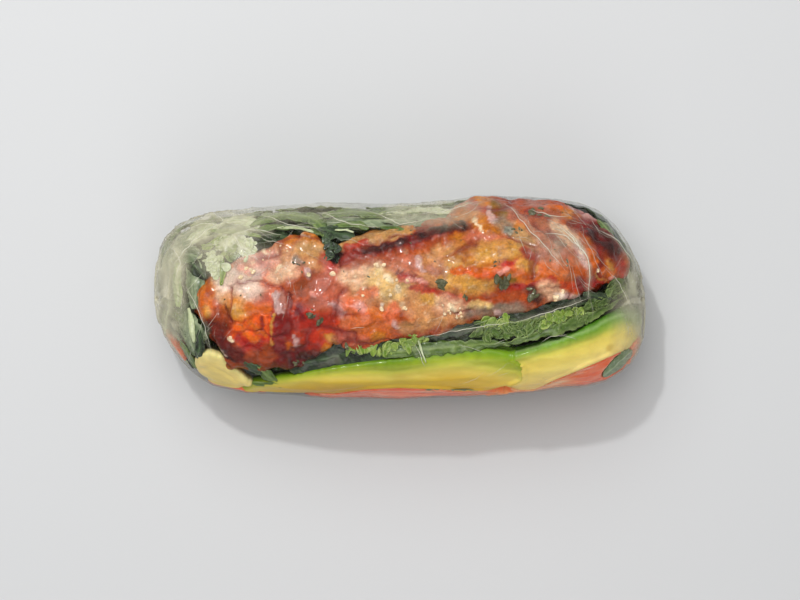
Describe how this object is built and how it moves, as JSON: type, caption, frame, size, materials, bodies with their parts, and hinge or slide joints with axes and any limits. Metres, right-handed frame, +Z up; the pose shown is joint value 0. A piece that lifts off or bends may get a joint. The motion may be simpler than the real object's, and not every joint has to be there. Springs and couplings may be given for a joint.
{
  "type": "rice paper roll",
  "caption": "Soft clear rice paper roll with grilled chicken, avocado, pink vegetable ribbons and leaves showing through its wrap, lying on a flat underside.",
  "frame": {"origin": "middle of the roll, on the surface that it rests on", "axes": "+X along the roll towards its thicker end, +Y to the back, away from the avocado, +Z up"},
  "size_m": [0.1286, 0.0541, 0.042],
  "materials": {
    "rice_paper": "clear, milky and wet, glossy along its wrinkles",
    "chicken": "grilled meat under a red-brown glaze, glossy",
    "avocado": "green outside fading to yellow flesh, satin",
    "ribbon": "moist pink-orange, satin",
    "herb": "grey-green leaf, satin",
    "greens": "moist salad leaves, satin"
  },
  "bodies": {
    "root": {"rice_paper": "rice_paper", "chicken_left": "chicken", "chicken_middle": "chicken", "chicken_right": "chicken", "avocado_long": "avocado", "avocado_right": "avocado", "avocado_wedge": "avocado", "ribbon_left_end": "ribbon", "ribbon_left": "ribbon", "ribbon_middle": "ribbon", "ribbon_right": "ribbon", "ribbon_right_end": "ribbon", "herb_leaf": "herb", "greens": "greens"}
  },
  "joints": []
}
